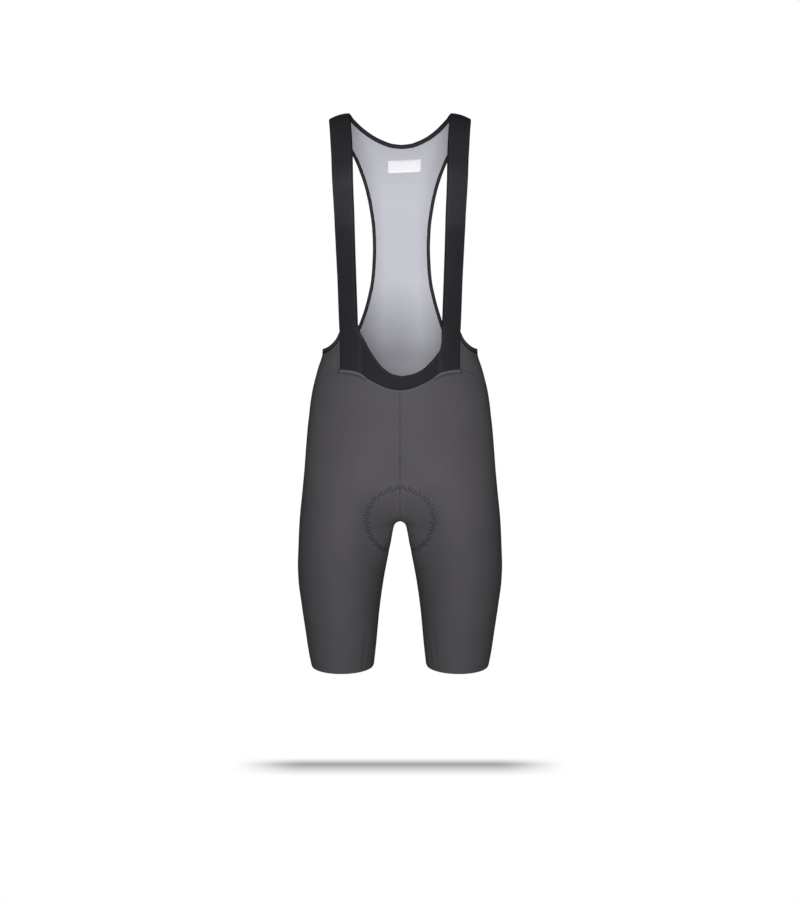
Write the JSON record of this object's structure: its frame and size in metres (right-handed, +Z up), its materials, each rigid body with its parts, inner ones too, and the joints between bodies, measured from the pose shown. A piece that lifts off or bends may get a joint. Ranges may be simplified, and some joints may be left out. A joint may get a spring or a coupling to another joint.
{
  "type": "cycling bib shorts",
  "caption": "Close-fitting bib shorts in worn form: two legs with a seat pad, a scooped front band, elastic straps and a mesh back panel.",
  "frame": {"origin": "where the wearer's shoulders hold the garment: midway between the undersides of the two straps at their crests", "axes": "+Z up, +X to the wearer's left, -Y the front of the garment"},
  "size_m": [0.358, 0.2367, 0.9622],
  "materials": {
    "lycra": "semi-matte knitted lycra, dark grey",
    "band": "matte knitted elastic fabric, black",
    "strap": "ribbed elastic webbing, black",
    "side": "matte knit, charcoal",
    "mesh": "fine knitted mesh, light grey",
    "binding": "folded binding elastic, black",
    "pad": "brushed foam-backed knit, black",
    "label": "woven satin tape, white, blank"
  },
  "bodies": {
    "root": {"leg_left": "lycra", "leg_right": "lycra", "front_band": "band", "strap_left": "strap", "strap_right": "strap", "side_panel_left": "side", "side_panel_right": "side", "armhole_binding_left": "binding", "armhole_binding_right": "binding", "neck_binding": "binding", "back_panel": "mesh", "chamois_pad": "pad", "neck_label": "label"}
  },
  "joints": []
}
